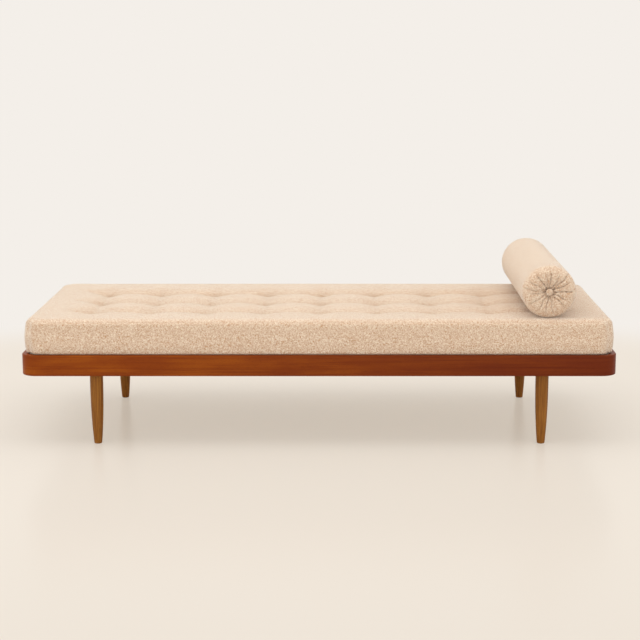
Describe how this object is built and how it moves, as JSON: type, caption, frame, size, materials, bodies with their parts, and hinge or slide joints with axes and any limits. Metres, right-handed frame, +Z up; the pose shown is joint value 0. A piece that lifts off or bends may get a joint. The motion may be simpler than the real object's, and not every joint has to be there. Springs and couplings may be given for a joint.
{
  "type": "daybed",
  "caption": "Low daybed: wooden rim with bent corners on turned legs, slatted base, loose tufted mattress and a loose cylindrical bolster with gathered ends.",
  "frame": {"origin": "on the floor, under the middle of the daybed", "axes": "+X along the bed to its head end, where the bolster lies; -Y to the front; +Z up"},
  "size_m": [1.9, 0.77, 0.5818],
  "materials": {
    "teak_rim": "satin oiled",
    "oak_legs": "satin oiled",
    "pine_base": "planed, unfinished",
    "beech_tenons": "planed, unfinished",
    "boucle": "looped wool boucle",
    "foam": "open-cell foam",
    "twine": "waxed twine",
    "zinc_steel": "zinc plated"
  },
  "bodies": {
    "base": {"bearer_screws": "zinc_steel", "centre_bearer": "pine_base", "corner_front_left": "teak_rim", "corner_front_right": "teak_rim", "corner_rear_left": "teak_rim", "corner_rear_right": "teak_rim", "corner_tenons": "beech_tenons", "foot_end_rail": "teak_rim", "front_ledger": "pine_base", "front_rail": "teak_rim", "hanger_bolts": "zinc_steel", "head_end_rail": "teak_rim", "ledger_screws": "zinc_steel", "leg_bearer_left": "pine_base", "leg_bearer_right": "pine_base", "leg_front_left": "oak_legs", "leg_front_right": "oak_legs", "leg_rear_left": "oak_legs", "leg_rear_right": "oak_legs", "rear_ledger": "pine_base", "rear_rail": "teak_rim", "slat_01": "pine_base", "slat_02": "pine_base", "slat_03": "pine_base", "slat_04": "pine_base", "slat_05": "pine_base", "slat_06": "pine_base", "slat_07": "pine_base", "slat_08": "pine_base", "slat_09": "pine_base", "slat_10": "pine_base", "slat_11": "pine_base", "slat_12": "pine_base", "slat_13": "pine_base", "slat_14": "pine_base", "slat_screws": "zinc_steel", "tee_nuts": "zinc_steel"},
    "mattress": {"mattress_core": "foam", "mattress_cover": "boucle", "tuft_ties": "twine"},
    "bolster": {"bolster_core": "foam", "bolster_cover": "boucle", "bolster_button_front": "boucle", "bolster_button_rear": "boucle"}
  },
  "joints": [
    {"name": "mattress_lift", "type": "slide", "parent": "base", "child": "mattress", "axis": [0, 0, 1], "range_m": [0, 0.2]},
    {"name": "bolster_slide", "type": "slide", "parent": "mattress", "child": "bolster", "axis": [1, 0, 0], "range_m": [-1.56, 0.09]}
  ]
}
